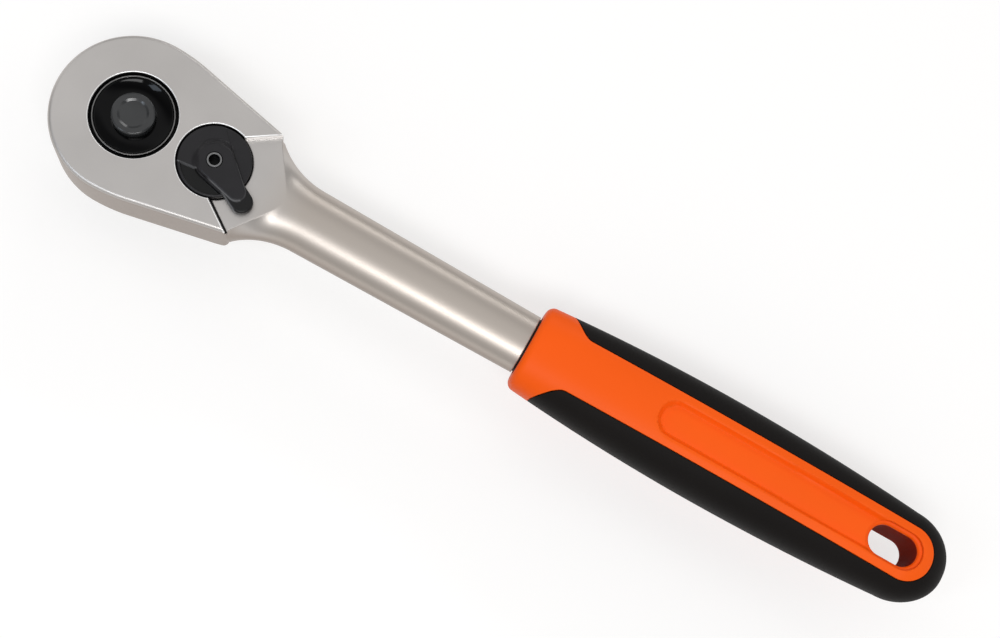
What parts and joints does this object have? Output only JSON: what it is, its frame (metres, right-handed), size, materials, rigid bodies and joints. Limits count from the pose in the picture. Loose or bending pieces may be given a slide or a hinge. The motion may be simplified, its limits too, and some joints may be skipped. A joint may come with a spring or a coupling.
{
  "type": "socket ratchet",
  "caption": "Reversible square-drive socket ratchet with a teardrop steel head, push-button socket release, flip lever and a moulded two-colour grip with a hang hole.",
  "frame": {"origin": "centre of the drive square's end face, on the drive axis", "axes": "+Z along the drive axis from the square up to the button, +X from the drive axis along the handle to the grip's end"},
  "size_m": [0.2549, 0.0418, 0.035],
  "materials": {
    "forged_steel": "satin nickel-chrome plated",
    "gear_steel": "fine turned and hardened",
    "plate_steel": "satin",
    "spring_steel": "bright drawn",
    "blackened_steel": "black oxide",
    "ball_steel": "polished",
    "gloss_black": "high gloss black",
    "button_grey": "dark grey satin",
    "lever_charcoal": "satin charcoal",
    "seal_rubber": "matt black",
    "orange_plastic": "fine satin moulding",
    "soft_black": "soft matt moulding"
  },
  "bodies": {
    "handle": {"ratchet_body": "forged_steel", "cover_plate": "plate_steel", "cover_snap_ring": "blackened_steel", "pawl_pin": "gear_steel", "grip_core": "orange_plastic", "grip_sleeve": "soft_black"},
    "drive": {"drive_gear": "gear_steel", "hub_seal": "seal_rubber", "button_collar": "gloss_black", "button_spring": "spring_steel"},
    "button": {"release_button": "button_grey", "release_pin": "gear_steel"},
    "ball": {"detent_ball": "ball_steel"},
    "lever": {"reverser_lever": "lever_charcoal", "reverser_spindle": "blackened_steel", "spindle_ring": "spring_steel", "spindle_seal": "seal_rubber", "plunger_spring": "spring_steel"},
    "plunger": {"detent_plunger": "gear_steel"},
    "rocker": {"pawl": "gear_steel"}
  },
  "joints": [
    {"name": "gear_spin", "type": "hinge", "parent": "handle", "child": "drive", "pos_m": [0, 0, 0.0243], "axis": [0, 0, 1], "continuous": true},
    {"name": "button_press", "type": "slide", "parent": "drive", "child": "button", "axis": [0, 0, -1], "range_m": [0, 0.003], "deforming": ["button_spring"]},
    {"name": "ball_retract", "type": "slide", "parent": "drive", "child": "ball", "axis": [0, 1, 0], "range_m": [0, 0.0015]},
    {"name": "lever_flip", "type": "hinge", "parent": "handle", "child": "lever", "pos_m": [0.023, 0, 0.03], "axis": [0, 0, 1], "range_deg": [0, 55.4]},
    {"name": "pawl_rock", "type": "hinge", "parent": "handle", "child": "rocker", "pos_m": [0.0168, 0, 0.0233], "axis": [0, 0, 1], "range_deg": [-12, 0]},
    {"name": "plunger_slide", "type": "slide", "parent": "lever", "child": "plunger", "axis": [0.8854, -0.4648, 0], "range_m": [0, 0.0008], "deforming": ["plunger_spring"]}
  ],
  "couplings": [
    {"joint": "ball_retract", "follows": "button_press", "ratio": 0.5},
    {"joint": "pawl_rock", "follows": "lever_flip", "ratio": -0.21661}
  ]
}
